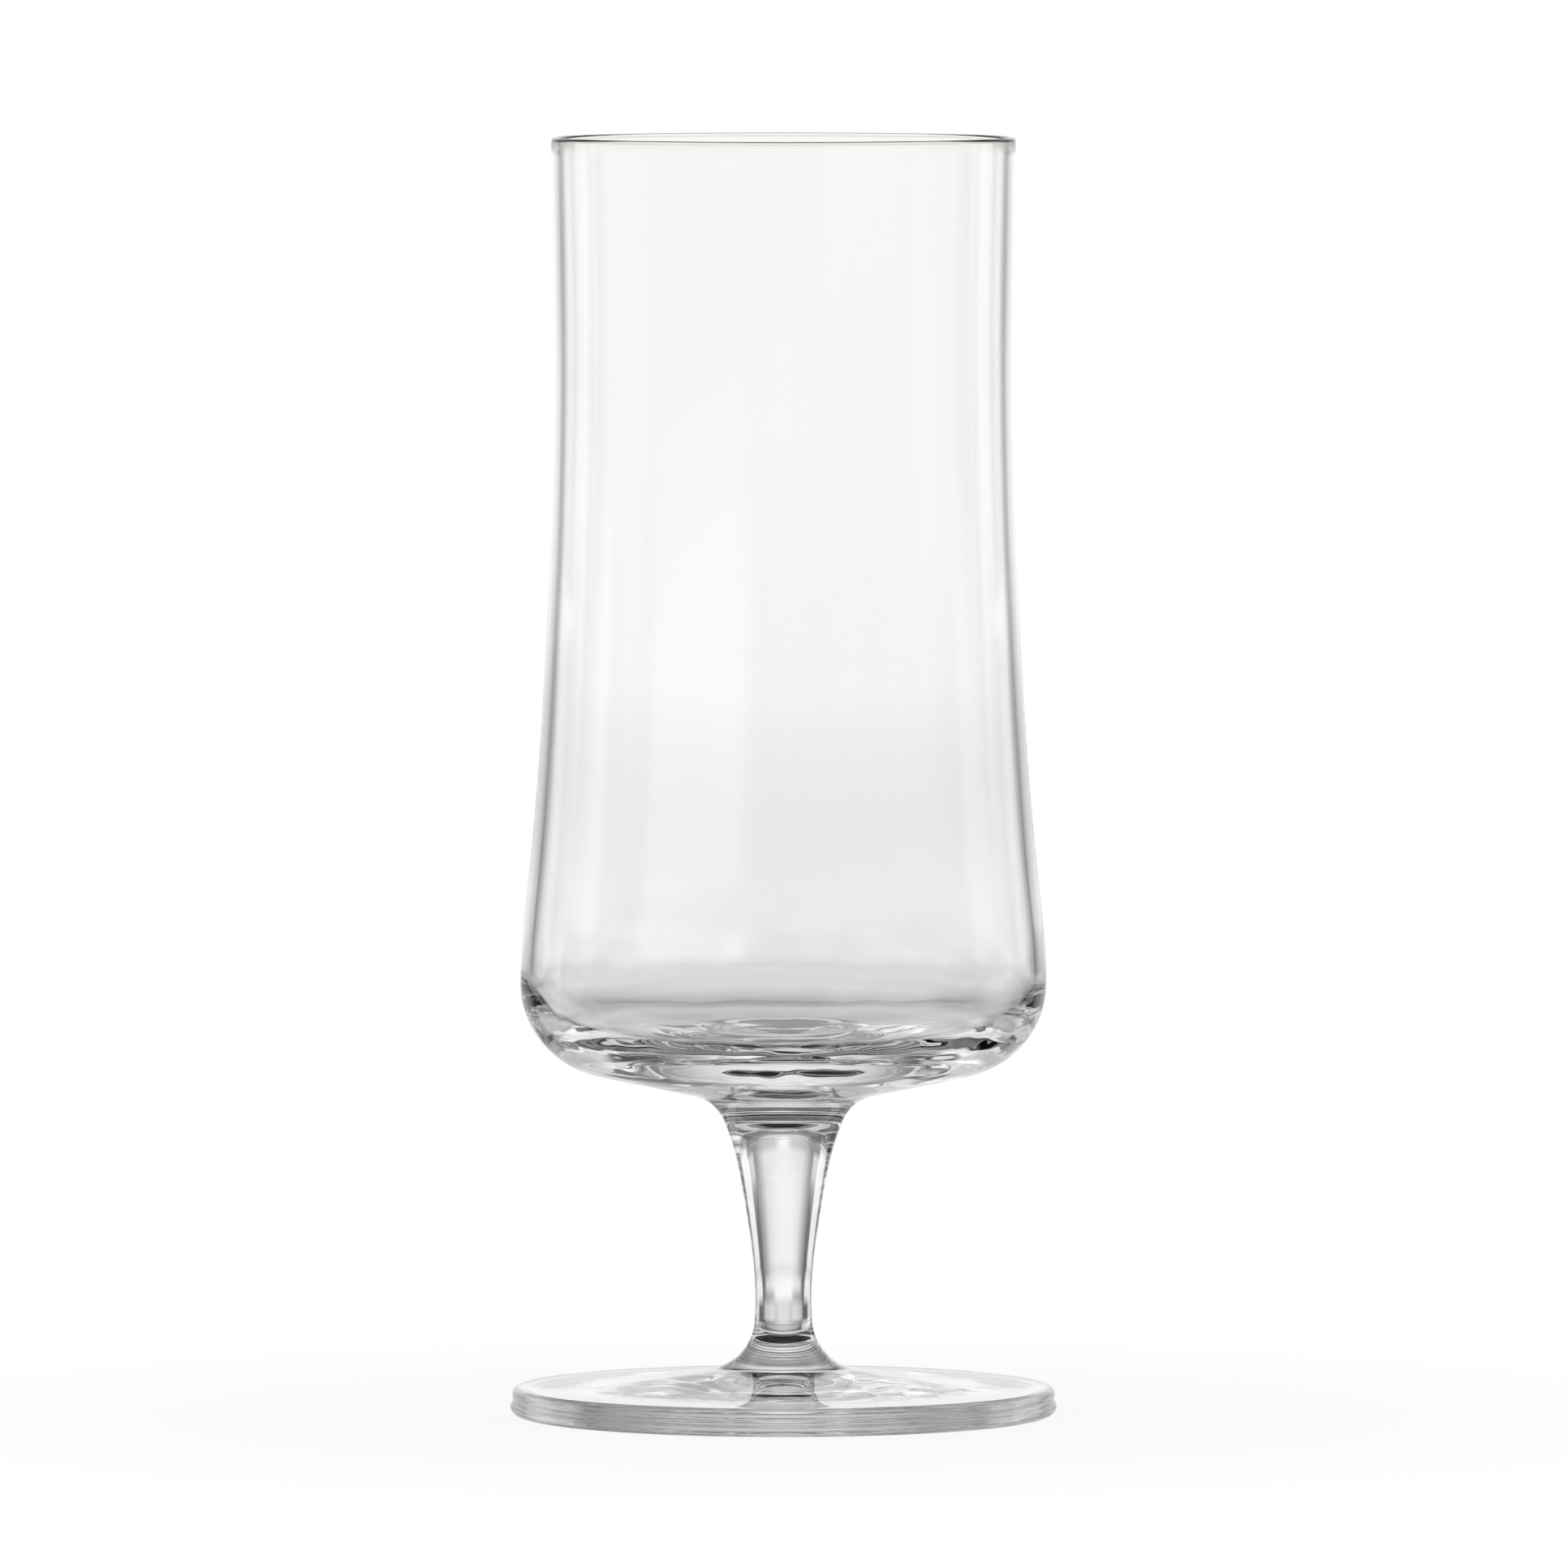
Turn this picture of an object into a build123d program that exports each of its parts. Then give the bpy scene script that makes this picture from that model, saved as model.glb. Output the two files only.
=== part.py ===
"""Footed pilsner glass: a blown bowl, a solid drawn stem and a pressed foot, fused end to end.

Millimetres, +Z up. The origin is on the axis, in the plane of the ring that the foot stands on.
Each piece is a turned profile, drawn as radius across and height up, and spun round the axis.
"""

import os
from math import cos, radians, sin, tan

from build123d import *

# The whole glass, from the table to the top of the rim
glass_height = 178.0

# Foot: a pressed disc whose edge is three stacked beads, slightly hollow underneath
foot_radius = 38.1
heel_round = 1.4
lower_bead = 0.3
middle_bead = 0.7
upper_bead = 1.55
middle_bead_inset = 0.18
upper_bead_inset = 0.32
bead_swell = 15.0
edge_round = 1.2
ring_width = 1.5
hollow_depth = 1.2
foot_slope = 10.5
boss_fillet = 7.2
boss_lean = 22.8

# Stem: thin just above the foot, swelling towards the bowl
stem_foot_radius = 4.58
stem_waist_radius = 3.96
stem_middle_radius = 5.37
neck_radius = 7.9
stem_waist_rise = 3.5
stem_middle_rise = 15.5
stem_top_rise = 10.4
neck_lean = 22.0

# Bowl, outside, from the neck up to the rim
collar_length = 0.9
neck_fillet = 6.2
underside_slope = 12.0
shoulder_arc = 13.2
belly_radius = 36.65
hip_radius = 35.6
flank_radius = 33.22
waist_radius = 31.87
rim_radius = 32.3
belly_to_hip = 13.6
hip_to_flank = 30.0
waist_below_rim = 27.9
rim_flare = 1.2

# Bowl, inside
base_thickness = 10.86
floor_rise = 1.3
floor_slope = 10.0
inner_corner = 9.1
belly_wall = 1.7
hip_wall = 1.6
flank_wall = 1.22
waist_wall = 1.15
rim_wall = 1.1


def heading(degrees):
    """The direction that makes this angle with the horizontal."""
    return cos(radians(degrees)), sin(radians(degrees))


# Foot heights, from the table up: the edge, then the top's rise to the boss, then the boss's fillet
edge_height = heel_round + lower_bead + middle_bead + upper_bead
top_edge_radius = foot_radius - edge_round
ring_radius = foot_radius - heel_round
boss_top_turn = 90 - boss_lean
boss_radius = stem_foot_radius + boss_fillet * (sin(radians(boss_top_turn)) - sin(radians(foot_slope)))
boss_height = edge_height + (top_edge_radius - boss_radius) * tan(radians(foot_slope / 2))
foot_joint = boss_height + boss_fillet * (cos(radians(foot_slope)) - cos(radians(boss_top_turn)))

# Where the stem ends and the bowl begins
neck_joint = foot_joint + stem_waist_rise + stem_middle_rise + stem_top_rise
neck_heading = 90 - neck_lean

# Bowl floor: nearly flat in the middle, rising to run tangent into the inner corner
floor_height = neck_joint + base_thickness
inner_belly_radius = belly_radius - belly_wall
floor_reach = inner_belly_radius - inner_corner * (1 - sin(radians(floor_slope)))

with BuildPart() as foot:
    with BuildSketch(Plane.XZ):
        with BuildLine():
            hollow = TangentArc((0, hollow_depth), (ring_radius - ring_width, 0), tangent=(1, 0))
            ring = Line(hollow @ 1, (ring_radius, 0))
            heel = TangentArc(ring @ 1, (foot_radius, heel_round), tangent=(1, 0))
            lower_groove = (foot_radius - middle_bead_inset, heel_round + lower_bead)
            TangentArc(heel @ 1, lower_groove, tangent=(0, 1))
            upper_groove = (foot_radius - upper_bead_inset, heel_round + lower_bead + middle_bead)
            TangentArc(lower_groove, upper_groove, tangent=heading(90 - bead_swell))
            top_edge = (top_edge_radius, edge_height)
            TangentArc(top_edge, upper_groove, tangent=(1, 0))
            top = TangentArc(top_edge, (boss_radius, boss_height), tangent=(-1, 0))
            boss = JernArc(top @ 1, heading(180 - foot_slope), boss_fillet, foot_slope - boss_top_turn)
            seat = Line(boss @ 1, (0, foot_joint))
            Line(seat @ 1, hollow @ 0)
        make_face()
    revolve(axis=Axis.Z)
foot.part.label = "foot"

with BuildPart() as stem:
    with BuildSketch(Plane.XZ):
        with BuildLine():
            stem_side = Spline(
                (stem_foot_radius, foot_joint),
                (stem_waist_radius, foot_joint + stem_waist_rise),
                (stem_middle_radius, foot_joint + stem_waist_rise + stem_middle_rise),
                (neck_radius, neck_joint),
                tangents=(heading(90 + boss_lean), heading(neck_heading)),
            )
            stem_top = Line(stem_side @ 1, (0, neck_joint))
            stem_axis = Line(stem_top @ 1, (0, foot_joint))
            Line(stem_axis @ 1, stem_side @ 0)
        make_face()
    revolve(axis=Axis.Z)
stem.part.label = "stem"

with BuildPart() as bowl:
    with BuildSketch(Plane.XZ):
        with BuildLine():
            # Outside, from the neck joint up to the rim
            collar = PolarLine((neck_radius, neck_joint), collar_length, neck_heading)
            neck = JernArc(collar @ 1, heading(neck_heading), neck_fillet, underside_slope - neck_heading)
            shoulder_start = belly_radius - shoulder_arc * (1 - sin(radians(underside_slope)))
            underside_run = (shoulder_start - (neck @ 1).X) / cos(radians(underside_slope))
            underside = PolarLine(neck @ 1, underside_run, underside_slope)
            shoulder = JernArc(
                underside @ 1, heading(underside_slope), shoulder_arc, 90 - underside_slope
            )
            hip_height = (shoulder @ 1).Y + belly_to_hip
            flank_height = hip_height + hip_to_flank
            waist_height = glass_height - waist_below_rim
            lip_height = glass_height - rim_wall / 2
            outside = Spline(
                shoulder @ 1,
                (hip_radius, hip_height),
                (flank_radius, flank_height),
                (waist_radius, waist_height),
                (rim_radius, lip_height),
                tangents=((0, 1), heading(90 - rim_flare)),
            )
            # Inside, from the middle of the floor up to the rim, a wall's thickness in
            dish = Spline(
                (0, floor_height),
                (floor_reach, floor_height + floor_rise),
                tangents=((1, 0), heading(floor_slope)),
            )
            corner = JernArc(dish @ 1, heading(floor_slope), inner_corner, 90 - floor_slope)
            inside = Spline(
                corner @ 1,
                (hip_radius - hip_wall, hip_height),
                (flank_radius - flank_wall, flank_height),
                (waist_radius - waist_wall, waist_height),
                (rim_radius - rim_wall, lip_height),
                tangents=((0, 1), heading(90 - rim_flare)),
            )
            # The lip is fire-polished to a half round
            lip_top = (rim_radius - rim_wall / 2, glass_height)
            ThreePointArc(outside @ 1, lip_top, inside @ 1)
            bowl_axis = Line(dish @ 0, (0, neck_joint))
            Line(bowl_axis @ 1, collar @ 0)
        make_face()
    revolve(axis=Axis.Z)
bowl.part.label = "bowl"

os.makedirs("parts", exist_ok=True)
export_step(bowl.part, "parts/bowl.step")
export_step(stem.part, "parts/stem.step")
export_step(foot.part, "parts/foot.step")

print(f"joints at {foot_joint:.2f} and {neck_joint:.2f} mm, inside floor at {floor_height:.2f} mm")
print(f"belly at {(shoulder @ 1).Y:.2f} mm outside, {(corner @ 1).Y:.2f} mm inside")
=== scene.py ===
import math

import bpy
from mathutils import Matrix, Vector


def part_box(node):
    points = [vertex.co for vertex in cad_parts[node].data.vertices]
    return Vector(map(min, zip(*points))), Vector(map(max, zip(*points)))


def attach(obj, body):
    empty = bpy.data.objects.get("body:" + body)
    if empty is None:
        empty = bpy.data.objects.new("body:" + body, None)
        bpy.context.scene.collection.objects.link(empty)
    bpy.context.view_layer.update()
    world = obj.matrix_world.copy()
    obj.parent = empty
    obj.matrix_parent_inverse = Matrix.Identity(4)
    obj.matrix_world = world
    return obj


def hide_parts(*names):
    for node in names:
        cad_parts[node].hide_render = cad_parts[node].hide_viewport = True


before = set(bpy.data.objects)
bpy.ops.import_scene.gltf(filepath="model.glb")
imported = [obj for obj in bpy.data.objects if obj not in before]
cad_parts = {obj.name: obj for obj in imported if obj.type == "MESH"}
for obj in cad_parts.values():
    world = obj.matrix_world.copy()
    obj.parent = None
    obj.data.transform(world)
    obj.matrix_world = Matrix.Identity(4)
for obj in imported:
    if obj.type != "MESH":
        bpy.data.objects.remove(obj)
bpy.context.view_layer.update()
scene = bpy.context.scene
mm = 0.001
print("frame loaded:", ", ".join(sorted(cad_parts)))

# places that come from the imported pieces, in mm
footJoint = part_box("stem")[0].z / mm
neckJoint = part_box("stem")[1].z / mm
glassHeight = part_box("bowl")[1].z / mm
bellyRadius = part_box("bowl")[1].x / mm
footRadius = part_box("foot")[1].x / mm
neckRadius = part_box("stem")[1].x / mm


# outline pen: knots of a bezier curve, radius across and height up, in mm
def heading(degrees):
    return Vector((math.cos(math.radians(degrees)), math.sin(math.radians(degrees))))


def startOutline(r, z):
    at = Vector((r, z))
    return [{"at": at, "back": at, "ahead": at}]


def addKnot(outline, end, leave, arrive):
    outline[-1]["ahead"] = outline[-1]["at"] + leave
    outline.append({"at": end, "back": end - arrive, "ahead": end})


def runTo(outline, r, z):  # straight
    third = (Vector((r, z)) - outline[-1]["at"]) / 3
    addKnot(outline, Vector((r, z)), third, third)


def turn(outline, course, radius, degrees):  # round, left turns are positive
    reach = 4 / 3 * math.tan(math.radians(abs(degrees)) / 4) * radius  # handle that keeps it round
    arm = math.copysign(radius, degrees)
    end = outline[-1]["at"] + (heading(course + 90) - heading(course + degrees + 90)) * arm
    addKnot(outline, end, heading(course) * reach, heading(course + degrees) * reach)


def arcTo(outline, r, z, course):  # round, from a known course to a known point
    chord = Vector((r, z)) - outline[-1]["at"]
    lean = math.degrees(math.atan2(chord.y, chord.x)) - course
    lean = (lean + 180) % 360 - 180
    turn(outline, course, chord.length / 2 / abs(math.sin(math.radians(lean))), 2 * lean)


def easeTo(outline, r, z, course, newCourse):  # easy curve between two courses
    third = (Vector((r, z)) - outline[-1]["at"]).length / 3
    addKnot(outline, Vector((r, z)), heading(course) * third, heading(newCourse) * third)


def drawOutline(name, outline, steps):
    curve = bpy.data.curves.new(name, "CURVE")
    curve.dimensions = "3D"
    spline = curve.splines.new("BEZIER")
    spline.bezier_points.add(len(outline) - 1)
    spline.resolution_u = steps
    for point, knot in zip(spline.bezier_points, outline):
        point.handle_left_type = point.handle_right_type = "FREE"
        point.co = (knot["at"].x * mm, 0, knot["at"].y * mm)
        point.handle_left = (knot["back"].x * mm, 0, knot["back"].y * mm)
        point.handle_right = (knot["ahead"].x * mm, 0, knot["ahead"].y * mm)
    holder = bpy.data.objects.new(name, curve)
    scene.collection.objects.link(holder)
    return holder


# node trees: nodes are placed in steps of this many units
nodeStep = 200


def addNode(tree, kind, x, y, **settings):
    node = tree.nodes.new(kind)
    node.location = (x * nodeStep, y * nodeStep)
    for name, value in settings.items():
        setattr(node, name, value)
    return node


def addCalc(tree, operation, x, y, *values, clamp=False):
    node = addNode(tree, "ShaderNodeMath", x, y, operation=operation, use_clamp=clamp)
    for socket, value in zip(node.inputs, values):
        if isinstance(value, (int, float)):
            socket.default_value = value
        else:
            tree.links.new(value, socket)
    return node.outputs[0]


# lathe: spins an outline round the axis, with the slight waviness of hand-worked glass
latheSet = {
    "segments": 288,
    "spindle": 10.0,  # mm, radius of the circle that the outline is swept along
    "mergeReach": 0.002,  # mm, closes the two ends on the axis
    "seamReach": 0.005,  # mm, how near a face is to a joint's height to be its seam
    "sharpBend": 40.0,  # degrees, corners above this stay sharp
    "waveDetail": 1.0,
}


def buildLathe(s):
    tree = bpy.data.node_groups.new("spinGlass", "GeometryNodeTree")
    sockets = [
        ("Outline", "NodeSocketObject"),
        ("Segments", "NodeSocketInt"),
        ("Wave Height", "NodeSocketFloat"),
        ("Wave Length", "NodeSocketFloat"),
        ("Wave Full", "NodeSocketFloat"),
        ("Wave End", "NodeSocketFloat"),
        ("Seed", "NodeSocketFloat"),
        ("Low Seam", "NodeSocketFloat"),
        ("High Seam", "NodeSocketFloat"),
        ("Glass", "NodeSocketMaterial"),
        ("Seam", "NodeSocketMaterial"),
    ]
    tree.interface.new_socket("Geometry", in_out="INPUT", socket_type="NodeSocketGeometry")
    for name, kind in sockets:
        tree.interface.new_socket(name, in_out="INPUT", socket_type=kind)
    tree.interface.new_socket("Geometry", in_out="OUTPUT", socket_type="NodeSocketGeometry")
    link = tree.links.new
    given = addNode(tree, "NodeGroupInput", -8, 0)
    spindle = s["spindle"] * mm

    outline = addNode(tree, "GeometryNodeObjectInfo", -7, 0, transform_space="ORIGINAL")
    link(given.outputs["Outline"], outline.inputs["Object"])
    laid = addNode(tree, "GeometryNodeTransform", -6, 0)  # front view to the sweep's own plane
    laid.inputs["Translation"].default_value = (-spindle, 0, 0)
    laid.inputs["Rotation"].default_value = (math.pi / 2, 0, 0)
    link(outline.outputs["Geometry"], laid.inputs["Geometry"])
    circle = addNode(tree, "GeometryNodeCurvePrimitiveCircle", -7, 2)
    circle.inputs["Radius"].default_value = spindle
    link(given.outputs["Segments"], circle.inputs["Resolution"])
    upright = addNode(tree, "GeometryNodeSetCurveNormal", -6, 2, mode="Z_UP")
    link(circle.outputs["Curve"], upright.inputs["Curve"])
    swept = addNode(tree, "GeometryNodeCurveToMesh", -5, 1)
    link(upright.outputs["Curve"], swept.inputs["Curve"])
    link(laid.outputs["Geometry"], swept.inputs["Profile Curve"])
    outward = addNode(tree, "GeometryNodeFlipFaces", -4, 2)
    link(swept.outputs["Mesh"], outward.inputs["Mesh"])
    closed = addNode(tree, "GeometryNodeMergeByDistance", -3, 1)
    closed.inputs["Distance"].default_value = s["mergeReach"] * mm
    link(outward.outputs["Mesh"], closed.inputs["Geometry"])

    # seam faces lie flat at a joint's height
    place = addNode(tree, "GeometryNodeInputPosition", -6, -4)
    split = addNode(tree, "ShaderNodeSeparateXYZ", -5, -4)
    link(place.outputs[0], split.inputs[0])
    atSeam = []
    for row, name in enumerate(("Low Seam", "High Seam")):
        near = addNode(tree, "FunctionNodeCompare", -4, -5 - row, data_type="FLOAT", operation="EQUAL")
        near.inputs["Epsilon"].default_value = s["seamReach"] * mm
        link(split.outputs["Z"], near.inputs["A"])
        link(given.outputs[name], near.inputs["B"])
        atSeam.append(near)
    onSeam = addNode(tree, "FunctionNodeBooleanMath", -3, -5, operation="OR")
    link(atSeam[0].outputs[0], onSeam.inputs[0])
    link(atSeam[1].outputs[0], onSeam.inputs[1])
    offSeam = addNode(tree, "FunctionNodeBooleanMath", -2, -5, operation="NOT")
    link(onSeam.outputs[0], offSeam.inputs[0])

    # waves: noise along the normal, full at one height and gone at another
    noise = addNode(tree, "ShaderNodeTexNoise", -4, -2, noise_dimensions="4D")
    noise.inputs["Detail"].default_value = s["waveDetail"]
    link(addCalc(tree, "DIVIDE", -5, -2, 1.0, given.outputs["Wave Length"]), noise.inputs["Scale"])
    link(given.outputs["Seed"], noise.inputs["W"])
    centred = addCalc(tree, "SUBTRACT", -3, -2, noise.outputs[0], 0.5)
    still = addNode(tree, "ShaderNodeMapRange", -3, -4, interpolation_type="SMOOTHSTEP")
    link(split.outputs["Z"], still.inputs["Value"])
    link(given.outputs["Wave Full"], still.inputs["From Min"])
    link(given.outputs["Wave End"], still.inputs["From Max"])
    link(given.outputs["Wave Height"], still.inputs["To Min"])
    still.inputs["To Max"].default_value = 0
    height = addCalc(tree, "MULTIPLY", -2, -2, centred, still.outputs["Result"])
    normal = addNode(tree, "GeometryNodeInputNormal", -3, -3)
    offset = addNode(tree, "ShaderNodeVectorMath", -1, -2, operation="SCALE")
    link(normal.outputs[0], offset.inputs[0])
    link(height, offset.inputs["Scale"])
    waved = addNode(tree, "GeometryNodeSetPosition", -1, 1)
    link(closed.outputs["Geometry"], waved.inputs["Geometry"])
    link(offSeam.outputs[0], waved.inputs["Selection"])
    link(offset.outputs[0], waved.inputs["Offset"])

    # sharp only where an outline has a corner
    bend = addNode(tree, "GeometryNodeInputMeshEdgeAngle", 0, -1)
    soft = addNode(tree, "FunctionNodeCompare", 1, -1, data_type="FLOAT", operation="LESS_THAN")
    soft.inputs["B"].default_value = math.radians(s["sharpBend"])
    link(bend.outputs["Unsigned Angle"], soft.inputs["A"])
    smoothFaces = addNode(tree, "GeometryNodeSetShadeSmooth", 0, 1, domain="FACE")
    link(waved.outputs["Geometry"], smoothFaces.inputs[0])
    smoothEdges = addNode(tree, "GeometryNodeSetShadeSmooth", 2, 1, domain="EDGE")
    link(smoothFaces.outputs[0], smoothEdges.inputs[0])
    link(soft.outputs[0], smoothEdges.inputs["Shade Smooth"])

    realized = addNode(tree, "GeometryNodeRealizeInstances", 3, 1)
    link(smoothEdges.outputs[0], realized.inputs[0])
    clear = addNode(tree, "GeometryNodeSetMaterial", 4, 1)
    link(realized.outputs[0], clear.inputs["Geometry"])
    link(given.outputs["Glass"], clear.inputs["Material"])
    seam = addNode(tree, "GeometryNodeSetMaterial", 5, 1)
    link(clear.outputs[0], seam.inputs["Geometry"])
    link(given.outputs["Seam"], seam.inputs["Material"])
    link(onSeam.outputs[0], seam.inputs["Selection"])
    done = addNode(tree, "NodeGroupOutput", 6, 1)
    link(seam.outputs[0], done.inputs[0])
    return tree


lathe = buildLathe(latheSet)


def spin(name, outline, steps, values):
    holder = drawOutline(name + "Outline", outline, steps)
    piece = bpy.data.objects.new(name, bpy.data.meshes.new(name))
    scene.collection.objects.link(piece)
    modifier = piece.modifiers.new("spinGlass", "NODES")
    modifier.node_group = lathe
    sockets = {
        item.name: item.identifier for item in lathe.interface.items_tree if item.in_out == "INPUT"
    }
    for label, value in {"Outline": holder, **values}.items():
        modifier[sockets[label]] = value
    bpy.context.view_layer.update()
    spun = piece.evaluated_get(bpy.context.evaluated_depsgraph_get())
    mesh = bpy.data.meshes.new_from_object(spun)
    piece.modifiers.clear()
    piece.data = mesh
    mesh.name = name
    bpy.data.objects.remove(holder)
    print(name, "spun:", len(mesh.polygons), "faces")
    return piece


def fillRamp(ramp, stops):  # all the places first, then the colours
    elements = ramp.color_ramp.elements
    while len(elements) < len(stops):
        elements.new(0.5)
    for element, (place, colour) in zip(elements, stops):
        element.position = place
    for element, (place, colour) in zip(elements, stops):
        element.color = (*colour, 1)


def grey(tone):
    return (tone, tone, tone)


# glass: a faint green where it is thick, a faint olive at the lip, and thin streaks along it
glass = {
    "ior": 1.52,
    "rampTop": 200.0,  # mm, height at the end of the tint ramp
    "tones": [  # height in mm, tint
        (0, (0.950, 0.966, 0.946)), (9, (0.950, 0.966, 0.946)), (13, (0.972, 0.982, 0.968)),
        (36, (0.972, 0.982, 0.968)), (42, (0.950, 0.966, 0.948)), (54, (0.955, 0.970, 0.952)),
        (66, (0.990, 0.991, 0.986)), (176.2, (0.990, 0.991, 0.986)), (177.2, (0.962, 0.956, 0.915)),
    ],
    "streaks": 0.012,
    "streakSize": (90.0, 90.0, 25.0),  # to a metre, longer along the axis
}


def buildGlassTone(g):
    tree = bpy.data.node_groups.new("glassTone", "ShaderNodeTree")
    tree.interface.new_socket("Place", in_out="INPUT", socket_type="NodeSocketVector")
    tree.interface.new_socket("Streaks", in_out="INPUT", socket_type="NodeSocketFloat")
    tree.interface.new_socket("Color", in_out="OUTPUT", socket_type="NodeSocketColor")
    link = tree.links.new
    given = addNode(tree, "NodeGroupInput", -4, 0)
    split = addNode(tree, "ShaderNodeSeparateXYZ", -3, 0)
    link(given.outputs["Place"], split.inputs[0])
    tint = addNode(tree, "ShaderNodeValToRGB", -1, 0)
    fillRamp(tint, [(height / g["rampTop"], colour) for height, colour in g["tones"]])
    link(addCalc(tree, "DIVIDE", -2, 0, split.outputs["Z"], g["rampTop"] * mm), tint.inputs["Fac"])
    drawn = addNode(tree, "ShaderNodeVectorMath", -3, -2, operation="MULTIPLY")
    drawn.inputs[1].default_value = g["streakSize"]
    link(given.outputs["Place"], drawn.inputs[0])
    noise = addNode(tree, "ShaderNodeTexNoise", -2, -2)
    noise.inputs["Scale"].default_value = 1.0
    link(drawn.outputs["Vector"], noise.inputs["Vector"])
    loss = addCalc(tree, "MULTIPLY", -1, -2, noise.outputs[0], given.outputs["Streaks"])
    streaked = addNode(tree, "ShaderNodeVectorMath", 0, 0, operation="SCALE")
    link(tint.outputs["Color"], streaked.inputs[0])
    link(addCalc(tree, "SUBTRACT", -1, -3, 1.0, loss), streaked.inputs["Scale"])
    out = addNode(tree, "NodeGroupOutput", 1, 0)
    link(streaked.outputs["Vector"], out.inputs["Color"])
    return tree


def makeGlass(name, ior):
    material = bpy.data.materials.new(name)
    material.use_nodes = True
    shader = material.node_tree.nodes["Principled BSDF"]
    shader.inputs["Roughness"].default_value = 0
    shader.inputs["IOR"].default_value = ior
    shader.inputs["Transmission Weight"].default_value = 1
    return material, shader


def makeClearGlass(g):
    material, shader = makeGlass("clearGlass", g["ior"])
    tree = material.node_tree
    coords = addNode(tree, "ShaderNodeTexCoord", -4, 0)
    tone = addNode(tree, "ShaderNodeGroup", -2, 0, node_tree=buildGlassTone(g))
    tone.inputs["Streaks"].default_value = g["streaks"]
    tree.links.new(coords.outputs["Object"], tone.inputs["Place"])
    tree.links.new(tone.outputs["Color"], shader.inputs["Base Color"])
    return material


clearGlass = makeClearGlass(glass)
fusedSeam, seamShader = makeGlass("fusedSeam", glass["ior"])
seamShader.inputs["Base Color"].default_value = (1, 1, 1, 1)
seamShader.inputs["Alpha"].default_value = 0  # fused: nothing shows there
print("glass mixed:", clearGlass.name, "and", fusedSeam.name)

# bowl: neck, flat underside, round shoulder, waisted wall, half-round rim, then down inside
bowl = {
    "neckLean": 22.0,
    "collar": 0.9,
    "neckFillet": 6.2,
    "undersideSlope": 12.0,
    "shoulderArc": 13.2,
    "hip": (35.6, 13.6, 96.16),  # radius, height above the belly, course
    "flank": (33.22, 43.6, 93.27),
    "waist": (31.87, 27.9, 89.86),  # height below the rim here
    "rimRadius": 32.3,
    "rimCourse": 88.8,
    "rimWall": 1.1,
    "waistWall": (1.15, 89.82),  # thickness, course inside
    "flankWall": (1.22, 92.70),
    "hipWall": (1.6, 95.75),
    "bellyWall": 1.7,
    "innerCorner": 9.1,
    "floorSlope": 10.0,
    "floorRise": 1.3,
    "baseThickness": 10.86,
    "steps": 14,
    "waves": (0.12, 7.0, 56.0, 72.0, 3.0),  # height, length, full at, gone at, seed
}


def bowlOutline(b):
    line = startOutline(0, neckJoint)
    runTo(line, neckRadius, neckJoint)
    course = 90 - b["neckLean"]
    rise = heading(course) * b["collar"]
    runTo(line, neckRadius + rise.x, neckJoint + rise.y)
    turn(line, course, b["neckFillet"], b["undersideSlope"] - course)
    slope = math.radians(b["undersideSlope"])
    reach = bellyRadius - b["shoulderArc"] * (1 - math.sin(slope)) - line[-1]["at"].x
    runTo(line, line[-1]["at"].x + reach, line[-1]["at"].y + reach * math.tan(slope))
    turn(line, b["undersideSlope"], b["shoulderArc"], 90 - b["undersideSlope"])
    belly = line[-1]["at"].y
    hipR, hipRise, hipCourse = b["hip"]
    flankR, flankRise, flankCourse = b["flank"]
    waistR, waistDrop, waistCourse = b["waist"]
    lip = glassHeight - b["rimWall"] / 2
    easeTo(line, hipR, belly + hipRise, 90, hipCourse)
    easeTo(line, flankR, belly + flankRise, hipCourse, flankCourse)
    easeTo(line, waistR, glassHeight - waistDrop, flankCourse, waistCourse)
    easeTo(line, b["rimRadius"], lip, waistCourse, b["rimCourse"])
    turn(line, 90, b["rimWall"] / 2, 90)
    turn(line, 180, b["rimWall"] / 2, 90)
    waistWall, waistInside = b["waistWall"]
    flankWall, flankInside = b["flankWall"]
    hipWall, hipInside = b["hipWall"]
    easeTo(line, waistR - waistWall, glassHeight - waistDrop, b["rimCourse"] + 180, waistInside + 180)
    easeTo(line, flankR - flankWall, belly + flankRise, waistInside + 180, flankInside + 180)
    easeTo(line, hipR - hipWall, belly + hipRise, flankInside + 180, hipInside + 180)
    floor = neckJoint + b["baseThickness"]
    cornerRise = b["innerCorner"] * math.cos(math.radians(b["floorSlope"]))
    easeTo(line, bellyRadius - b["bellyWall"], floor + b["floorRise"] + cornerRise, hipInside + 180, 270)
    turn(line, 270, b["innerCorner"], b["floorSlope"] - 90)
    easeTo(line, 0, floor, 180 + b["floorSlope"], 180)
    return line


# stem: a solid rod, thin above the foot and swelling to the bowl
stem = {
    "footRadius": 4.58,
    "footCourse": 112.8,
    "waist": (3.96, 3.5, 92.56),  # radius, height above the foot joint, course
    "middle": (5.37, 19.0, 80.62),
    "neckCourse": 68.0,
    "steps": 16,
    "waves": (0.02, 9.0, 60.0, 70.0, 5.0),
}


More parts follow.
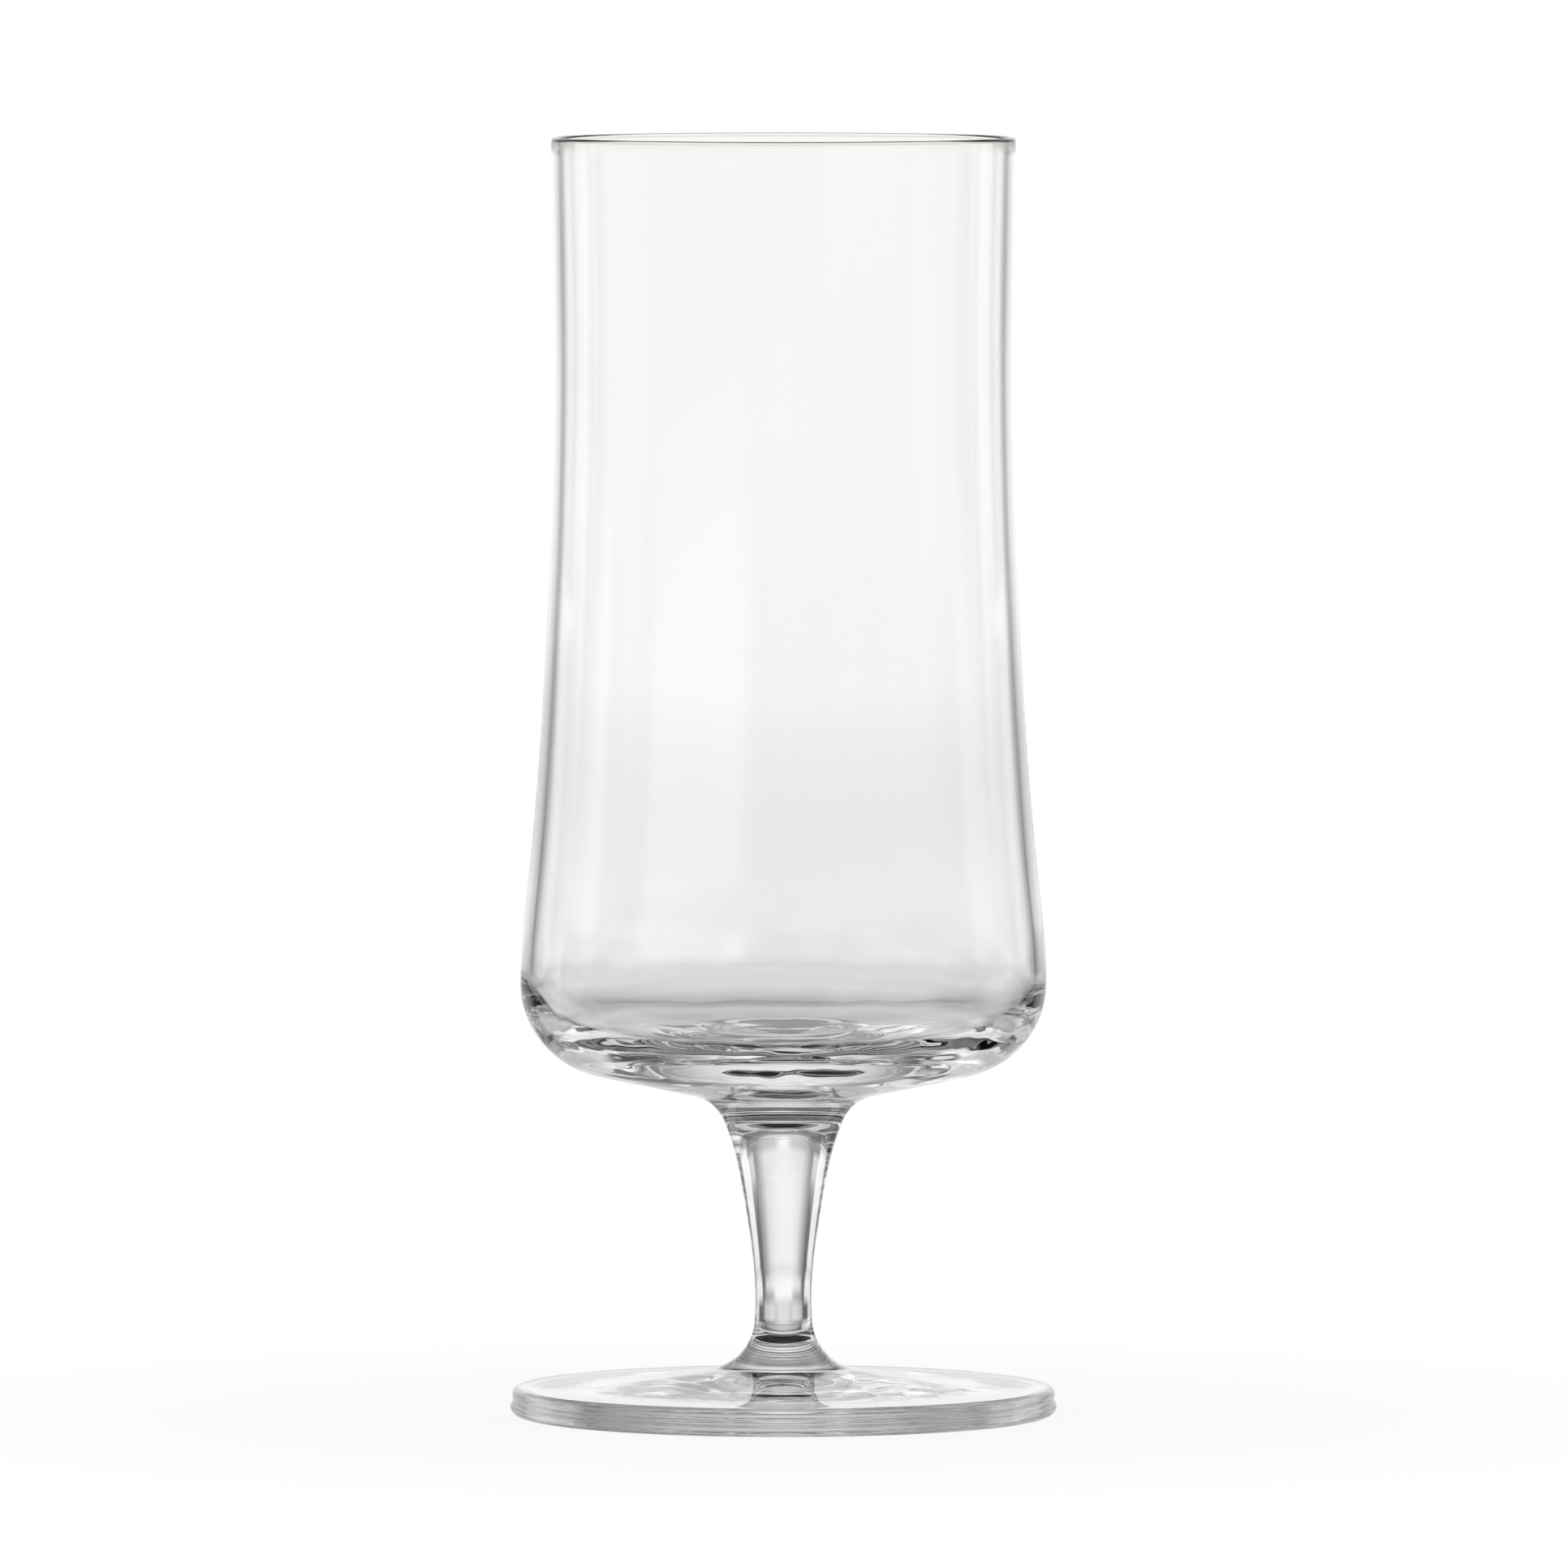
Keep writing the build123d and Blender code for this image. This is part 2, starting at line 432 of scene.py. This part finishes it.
def stemOutline(s):
    line = startOutline(0, footJoint)
    runTo(line, s["footRadius"], footJoint)
    waistR, waistRise, waistCourse = s["waist"]
    middleR, middleRise, middleCourse = s["middle"]
    easeTo(line, waistR, footJoint + waistRise, s["footCourse"], waistCourse)
    easeTo(line, middleR, footJoint + middleRise, waistCourse, middleCourse)
    easeTo(line, neckRadius, neckJoint, middleCourse, s["neckCourse"])
    runTo(line, 0, neckJoint)
    return line


# foot: hollow below, three beads round the edge, a dished top and a boss
foot = {
    "hollow": 1.2,
    "ringWidth": 1.5,
    "heel": 1.4,
    "beads": (0.3, 0.7, 1.55),  # heights of the lower, middle and upper bead
    "insets": (0.3, 0.5),  # grooves above the lower and the middle bead
    "swell": 24.0,  # degrees that the middle bead leans out
    "edgeRound": 1.2,
    "slope": 10.5,
    "bossFillet": 7.2,
    "bossLean": 22.8,
    "steps": 14,
    "waves": (0.2, 7.0, 4.6, 4.0, 8.0),
}


def footOutline(f):
    ring = footRadius - f["heel"]
    lower, middle, upper = f["beads"]
    line = startOutline(0, f["hollow"])
    arcTo(line, ring - f["ringWidth"], 0, 0)
    runTo(line, ring, 0)
    turn(line, 0, f["heel"], 90)
    arcTo(line, footRadius - f["insets"][0], f["heel"] + lower, 90)
    arcTo(line, footRadius - f["insets"][1], f["heel"] + lower + middle, 90 - f["swell"])
    edgeTop = Vector((footRadius - f["edgeRound"], f["heel"] + lower + middle + upper))
    chord = edgeTop - line[-1]["at"]
    lean = math.degrees(math.atan2(chord.y, chord.x))
    arcTo(line, edgeTop.x, edgeTop.y, 2 * lean - 180)  # so that it ends level
    bossTurn = 90 - f["bossLean"]
    bossRadius = stem["footRadius"] + f["bossFillet"] * (
        math.sin(math.radians(bossTurn)) - math.sin(math.radians(f["slope"]))
    )
    bossHeight = edgeTop.y + (edgeTop.x - bossRadius) * math.tan(math.radians(f["slope"] / 2))
    arcTo(line, bossRadius, bossHeight, 180)
    turn(line, 180 - f["slope"], f["bossFillet"], f["slope"] - bossTurn)
    runTo(line, 0, line[-1]["at"].y)
    return line


noSeam = -1000.0  # mm, far below the glass, for an end that isn't fused


def spinPiece(name, outline, piece, lowSeam, highSeam):
    height, length, full, end, seed = piece["waves"]
    sizes = {
        "Wave Height": height, "Wave Length": length, "Wave Full": full, "Wave End": end,
        "Low Seam": lowSeam, "High Seam": highSeam,
    }
    values = {label: size * mm for label, size in sizes.items()}
    values.update({"Segments": latheSet["segments"], "Seed": seed, "Glass": clearGlass, "Seam": fusedSeam})
    return spin(name, outline, piece["steps"], values)


bowlShell = spinPiece("bowlShell", bowlOutline(bowl), bowl, neckJoint, noSeam)
stemRod = spinPiece("stemRod", stemOutline(stem), stem, footJoint, neckJoint)
footDisc = spinPiece("footDisc", footOutline(foot), foot, noSeam, footJoint)

for piece, node in ((bowlShell, "bowl"), (stemRod, "stem"), (footDisc, "foot")):
    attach(piece, "root")
    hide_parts(node)

# floor: pale, with the glass's own faint shadow, white further out
floorSet = {  # metres
    "radius": 3.0,
    "sides": 96,
    "drop": 0.0002,  # just below the foot
    "colour": (0.97, 0.97, 0.97),
    "shadow": (0.03, 0.16),  # full up to, gone at
    "glowShare": 0.93,  # white even where the shadow is full
}


def makeFloor(f):
    mesh = bpy.data.meshes.new("paleFloor")
    turns = [2 * math.pi * k / f["sides"] for k in range(f["sides"])]
    edge = [(f["radius"] * math.cos(t), f["radius"] * math.sin(t), 0) for t in turns]
    mesh.from_pydata(edge, [], [list(range(f["sides"]))])
    floor = bpy.data.objects.new("paleFloor", mesh)
    floor.location.z = -f["drop"]
    scene.collection.objects.link(floor)
    material = bpy.data.materials.new("paleFloor")
    material.use_nodes = True
    tree = material.node_tree
    tree.nodes.clear()
    link = tree.links.new
    out = addNode(tree, "ShaderNodeOutputMaterial", 3, 0)
    mix = addNode(tree, "ShaderNodeMixShader", 2, 0)
    diffuse = addNode(tree, "ShaderNodeBsdfDiffuse", 1, 1)
    diffuse.inputs["Color"].default_value = (*f["colour"], 1)
    glow = addNode(tree, "ShaderNodeEmission", 1, -1)
    coords = addNode(tree, "ShaderNodeTexCoord", -2, 0)
    away = addNode(tree, "ShaderNodeVectorMath", -1, 0, operation="LENGTH")
    link(coords.outputs["Object"], away.inputs[0])
    fade = addNode(tree, "ShaderNodeMapRange", 0, 0, interpolation_type="SMOOTHSTEP")
    fade.inputs["From Min"].default_value, fade.inputs["From Max"].default_value = f["shadow"]
    fade.inputs["To Min"].default_value = f["glowShare"]
    link(away.outputs["Value"], fade.inputs["Value"])
    link(fade.outputs["Result"], mix.inputs["Fac"])
    link(diffuse.outputs[0], mix.inputs[1])
    link(glow.outputs[0], mix.inputs[2])
    link(mix.outputs[0], out.inputs["Surface"])
    mesh.materials.append(material)
    floor.visible_glossy = floor.visible_transmission = False  # the glass shows the studio instead
    print("floor laid")


makeFloor(floorSet)

# camera: as far and as high as the photo's, in mm, with the width that its frame takes in
cameraSet = {
    "distance": 2767.0, "height": 234.5, "aim": (0.08, 0.0, 88.02), "frameWidth": 218.2, "sensor": 36.0,
    "clipEnd": 100.0,  # metres
}
cameraData = bpy.data.cameras.new("photoCamera")
camera = bpy.data.objects.new("photoCamera", cameraData)
scene.collection.objects.link(camera)
camera.location = Vector((cameraSet["aim"][0], -cameraSet["distance"], cameraSet["height"])) * mm
aim = Vector(cameraSet["aim"]) * mm - camera.location
camera.rotation_euler = aim.to_track_quat("-Z", "Y").to_euler()
cameraData.sensor_width = cameraSet["sensor"]
cameraData.lens = cameraSet["sensor"] * aim.length / (cameraSet["frameWidth"] * mm)
cameraData.clip_end = cameraSet["clipEnd"]
scene.camera = camera
print("camera set, lens", round(cameraData.lens, 1))

# studio: a round glow behind the glass and soft boxes about it in a dim room
# in degrees, turned from +Y towards +X
studio = {
    "glowDip": 2.6,  # below the horizon
    "glowSpan": 90.0,  # end of the glow's ramp
    "glow": [  # degrees from its middle, tone
        (0, 0.56), (8, 0.55), (12, 0.5), (16, 0.42), (21, 0.33), (26, 0.26), (30, 0.16), (33, 0.0),
    ],
    "boxes": {  # turn, half width, side blur, low, high, edge blur, tone
        "backTop": (0, 4.5, 5.5, 16.0, 26.8, 3.0, 0.36),
        "stemBack": (0, 21.0, 8.0, 0.3, 16.0, 3.0, 0.26),
        "backLow": (0, 8.7, 6.4, -33.5, -4.8, 1.6, 0.12),
        "horizon": (0, 28.0, 4.0, -2.6, -0.2, 2.0, 0.36),
        "horizonLow": (0, 12.5, 4.0, -4.5, -2.6, 2.0, 0.36),
        "leftUnder": (-23.0, 10.0, 5.0, -11.0, -5.0, 2.0, 0.25),
        "rightUnder": (23.0, 10.0, 5.0, -11.0, -5.0, 2.0, 0.25),
        "leftFill": (-36.0, 6.0, 3.0, 9.0, 17.0, 3.0, 0.5),
        "rightFill": (36.0, 6.0, 3.0, 9.0, 17.0, 3.0, 0.5),
        "overBack": (0, 28.8, 10.9, 26.0, 42.0, 8.6, -0.37),
        "leftBox": (-51.7, 11.1, 3.2, 1.0, 22.2, 5.0, 0.76),
        "rightBox": (51.7, 11.1, 3.2, 1.0, 22.2, 5.0, 0.76),
        "leftBand": (-50.0, 13.5, 3.2, -5.0, 0.8, 3.0, 0.74),
        "rightBand": (50.0, 13.5, 3.2, -5.0, 0.8, 3.0, 0.74),
        "leftLow": (-64.0, 15.0, 5.0, -28.5, -5.0, 4.0, 0.6),
        "rightLow": (64.0, 15.0, 5.0, -28.5, -5.0, 4.0, 0.6),
        "leftPanel": (-79.0, 16.0, 16.0, -8.0, 9.0, 6.0, 0.36),
        "rightPanel": (79.0, 16.0, 16.0, -8.0, 9.0, 6.0, 0.36),
        "front": (180, 82.3, 14.5, -2.7, 4.3, 5.1, 0.62),
        "leftWindow": (-91, 14.0, 8.0, -7.5, 4.0, 4.0, 0.42),
        "lowLeft": (-46, 15.0, 6.0, -36.0, -13.0, 5.0, 0.85),
        "lowRight": (135, 26.0, 10.0, -26.0, -6.0, 6.0, 0.85),
    },
    "room": [  # elevation, tone
        (-90, 0.02), (-46, 0.02), (-45, 0.7), (-37, 0.7), (-36, 0.03), (-25, 0.04), (-10, 0.1), (0, 0.12),
        (24, 0.4), (30, 0.02), (36, 0.2), (43, 0.22), (44, 0.68), (56, 0.68), (57, 0.22), (64, 0.2),
        (70, 0.02), (90, 0.02),
    ],
}


def buildSoftBox():
    tree = bpy.data.node_groups.new("softBox", "ShaderNodeTree")
    labels = ("Around", "Elevation", "Turn", "Half Width", "Side Blur", "Low", "High", "Edge Blur", "Tone")
    for name in labels:
        tree.interface.new_socket(name, in_out="INPUT", socket_type="NodeSocketFloat")
    tree.interface.new_socket("Light", in_out="OUTPUT", socket_type="NodeSocketFloat")
    given = addNode(tree, "NodeGroupInput", -4, 0).outputs

    def edge(y, inside, blur):
        return addCalc(tree, "ADD", 0, y, addCalc(tree, "DIVIDE", -1, y, inside, blur), 0.5, clamp=True)

    apart = addCalc(tree, "SUBTRACT", -4, 2, given["Around"], given["Turn"])
    away = addCalc(tree, "WRAP", -3, 2, apart, 180.0, -180.0)
    within = addCalc(tree, "SUBTRACT", -2, 2, given["Half Width"], addCalc(tree, "ABSOLUTE", -3, 3, away))
    across = edge(2, within, given["Side Blur"])
    above = edge(1, addCalc(tree, "SUBTRACT", -2, 1, given["Elevation"], given["Low"]), given["Edge Blur"])
    below = edge(0, addCalc(tree, "SUBTRACT", -2, 0, given["High"], given["Elevation"]), given["Edge Blur"])
    upright = addCalc(tree, "MULTIPLY", 1, 0, above, below)
    shape = addCalc(tree, "MULTIPLY", 2, 1, across, upright)
    out = addNode(tree, "NodeGroupOutput", 4, 0)
    tree.links.new(addCalc(tree, "MULTIPLY", 3, 0, shape, given["Tone"]), out.inputs["Light"])
    return tree


def buildStudioLight(s):
    tree = bpy.data.node_groups.new("studioLight", "ShaderNodeTree")
    tree.interface.new_socket("Direction", in_out="INPUT", socket_type="NodeSocketVector")
    tree.interface.new_socket("Light", in_out="OUTPUT", socket_type="NodeSocketFloat")
    link = tree.links.new
    given = addNode(tree, "NodeGroupInput", -6, 0)
    unit = addNode(tree, "ShaderNodeVectorMath", -5, 0, operation="NORMALIZE")
    link(given.outputs["Direction"], unit.inputs[0])
    split = addNode(tree, "ShaderNodeSeparateXYZ", -4, 0)
    link(unit.outputs["Vector"], split.inputs[0])
    x, y, z = split.outputs
    around = addCalc(tree, "DEGREES", -2, 2, addCalc(tree, "ARCTAN2", -3, 2, x, y))
    elevation = addCalc(tree, "DEGREES", -2, 1, addCalc(tree, "ARCSINE", -3, 1, z))

    room = addNode(tree, "ShaderNodeValToRGB", 1, -1)
    fillRamp(room, [(degrees / 180 + 0.5, grey(tone)) for degrees, tone in s["room"]])
    link(addCalc(tree, "MULTIPLY_ADD", 0, -1, elevation, 1 / 180, 0.5), room.inputs["Fac"])
    dip = math.radians(s["glowDip"])
    facing = addNode(tree, "ShaderNodeVectorMath", -3, -2, operation="DOT_PRODUCT")
    facing.inputs[1].default_value = (0, math.cos(dip), -math.sin(dip))
    link(unit.outputs["Vector"], facing.inputs[0])
    away = addCalc(tree, "DEGREES", -1, -2, addCalc(tree, "ARCCOSINE", -2, -2, facing.outputs["Value"]))
    glow = addNode(tree, "ShaderNodeValToRGB", 1, -2)
    fillRamp(glow, [(degrees / s["glowSpan"], grey(tone)) for degrees, tone in s["glow"]])
    link(addCalc(tree, "DIVIDE", 0, -2, away, s["glowSpan"]), glow.inputs["Fac"])
    light = addCalc(tree, "ADD", 2, -1, room.outputs["Color"], glow.outputs["Color"])

    softBox = buildSoftBox()
    for row, (name, values) in enumerate(s["boxes"].items()):
        box = addNode(tree, "ShaderNodeGroup", 1, row + 1, node_tree=softBox, name=name)
        link(around, box.inputs["Around"])
        link(elevation, box.inputs["Elevation"])
        for socket, value in zip(list(box.inputs)[2:], values):  # after Around and Elevation
            socket.default_value = value
        light = addCalc(tree, "ADD", 3, row + 1, light, box.outputs["Light"])
    out = addNode(tree, "NodeGroupOutput", 5, 0)
    link(addCalc(tree, "MAXIMUM", 4, 0, light, 0.0), out.inputs["Light"])
    print("studio:", ", ".join(s["boxes"]))
    return tree


def makeStudio(s):
    world = bpy.data.worlds.new("studio")
    scene.world = world
    world.use_nodes = True
    tree = world.node_tree
    tree.nodes.clear()
    link = tree.links.new
    coords = addNode(tree, "ShaderNodeTexCoord", -2, 0)
    light = addNode(tree, "ShaderNodeGroup", -1, 0, node_tree=buildStudioLight(s))
    link(coords.outputs["Generated"], light.inputs["Direction"])
    lit = addNode(tree, "ShaderNodeBackground", 0, 0)
    link(light.outputs["Light"], lit.inputs["Color"])
    white = addNode(tree, "ShaderNodeBackground", 0, -1)
    white.inputs["Color"].default_value = (1, 1, 1, 1)
    path = addNode(tree, "ShaderNodeLightPath", 0, 2)
    shown = addNode(tree, "ShaderNodeMixShader", 1, 0)  # the camera sees plain white
    link(path.outputs["Is Camera Ray"], shown.inputs["Fac"])
    link(lit.outputs[0], shown.inputs[1])
    link(white.outputs[0], shown.inputs[2])
    out = addNode(tree, "ShaderNodeOutputWorld", 2, 0)
    link(shown.outputs[0], out.inputs["Surface"])


makeStudio(studio)

# card: bright, lying behind the bowl, seen only in the glass and from above, in metres
cardSet = {
    "height": 0.1,
    "halfWidth": 0.08,
    "near": 0.06,
    "far": 0.46,
    "fade": (0.04, 0.056, 0.14),  # at the sides, the near edge and the far edge
    "tone": 1.03,
}


def makeCard(c):
    mesh = bpy.data.meshes.new("rimCard")
    wide, near, far = c["halfWidth"], c["near"], c["far"]
    sideFade, nearFade, farFade = c["fade"]
    corners = [(-wide, near, 0), (wide, near, 0), (wide, far, 0), (-wide, far, 0)]
    mesh.from_pydata(corners, [], [[0, 1, 2, 3]])
    card = bpy.data.objects.new("rimCard", mesh)
    card.location.z = c["height"]
    scene.collection.objects.link(card)
    material = bpy.data.materials.new("rimCard")
    material.use_nodes = True
    tree = material.node_tree
    tree.nodes.clear()
    link = tree.links.new
    coords = addNode(tree, "ShaderNodeTexCoord", -3, 0)
    split = addNode(tree, "ShaderNodeSeparateXYZ", -2, 0)
    link(coords.outputs["Object"], split.inputs[0])
    x, y = split.outputs["X"], split.outputs["Y"]

    def edge(row, value, start, end):
        fade = addNode(tree, "ShaderNodeMapRange", -1, row, interpolation_type="SMOOTHSTEP")
        fade.inputs["From Min"].default_value, fade.inputs["From Max"].default_value = start, end
        link(value, fade.inputs["Value"])
        return fade.outputs["Result"]

    across = edge(1, addCalc(tree, "ABSOLUTE", -2, 1, x), wide, wide - sideFade)
    along = edge(0, y, near, near + nearFade)
    ending = edge(-1, y, far, far - farFade)
    shape = addCalc(tree, "MULTIPLY", 1, 0, across, addCalc(tree, "MULTIPLY", 0, -1, along, ending))
    side = addNode(tree, "ShaderNodeNewGeometry", 0, 2)
    above = addCalc(tree, "SUBTRACT", 1, 2, 1.0, side.outputs["Backfacing"])
    shape = addCalc(tree, "MULTIPLY", 2, 1, shape, above)
    glow = addNode(tree, "ShaderNodeEmission", 1, -1)
    glow.inputs["Strength"].default_value = c["tone"]
    clear = addNode(tree, "ShaderNodeBsdfTransparent", 1, -2)
    mix = addNode(tree, "ShaderNodeMixShader", 2, 0)
    link(shape, mix.inputs["Fac"])
    link(clear.outputs[0], mix.inputs[1])
    link(glow.outputs[0], mix.inputs[2])
    out = addNode(tree, "ShaderNodeOutputMaterial", 3, 0)
    link(mix.outputs[0], out.inputs["Surface"])
    mesh.materials.append(material)
    card.visible_camera = card.visible_diffuse = card.visible_shadow = False
    print("card laid")


makeCard(cardSet)
scene.view_settings.view_transform = "Standard"
bounces = 96  # light crosses many faces in thick glass
for limit in ("max_bounces", "transmission_bounces", "glossy_bounces", "transparent_max_bounces"):
    setattr(scene.cycles, limit, bounces)
